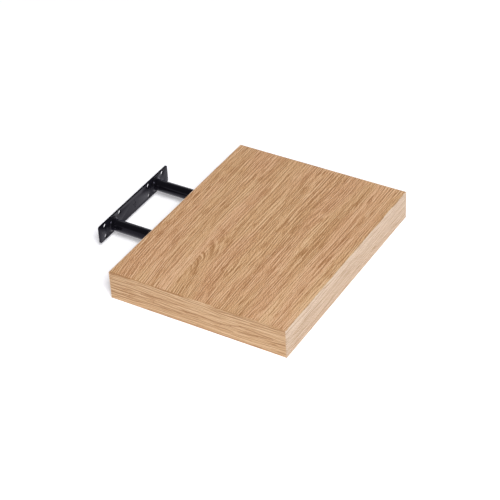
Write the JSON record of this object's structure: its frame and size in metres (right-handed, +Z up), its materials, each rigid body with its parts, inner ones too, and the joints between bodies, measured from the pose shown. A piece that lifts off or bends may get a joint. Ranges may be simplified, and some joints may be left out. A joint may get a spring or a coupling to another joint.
{
  "type": "floating wall shelf",
  "caption": "Hollow-core wood-effect shelf board that slides onto the tubes of a slim steel wall bracket, which it hides when it is pushed home.",
  "frame": {"origin": "middle of the wall plate's back face, which lies on the wall", "axes": "+Y points into the wall, -Y points at the room, +Z is up, X runs along the shelf"},
  "size_m": [0.3, 0.302, 0.038],
  "materials": {
    "bracket_paint": "satin black powder coat",
    "oak_foil": "printed oak foil on chipboard, satin",
    "front_edge": "melamine edge band, pale oak print",
    "end_edge": "melamine edge band, oak print",
    "chipboard": "raw chipboard",
    "kraft_honeycomb": "kraft paper",
    "staple_wire": "galvanised wire"
  },
  "bodies": {
    "bracket": {"wall_plate": "bracket_paint", "left_tube": "bracket_paint", "right_tube": "bracket_paint", "left_weld": "bracket_paint", "right_weld": "bracket_paint"},
    "shelf": {"top_skin": "oak_foil", "bottom_skin": "oak_foil", "front_rail": "chipboard", "rear_rail": "chipboard", "left_rail": "chipboard", "right_rail": "chipboard", "left_guide_block": "chipboard", "right_guide_block": "chipboard", "left_core": "kraft_honeycomb", "middle_core": "kraft_honeycomb", "right_core": "kraft_honeycomb", "front_band": "front_edge", "rear_band": "front_edge", "left_band": "end_edge", "right_band": "end_edge", "frame_staples": "staple_wire"}
  },
  "joints": [
    {"name": "shelf_slide", "type": "slide", "parent": "bracket", "child": "shelf", "axis": [0, -1, 0], "range_m": [-0.067, 0.125]}
  ]
}
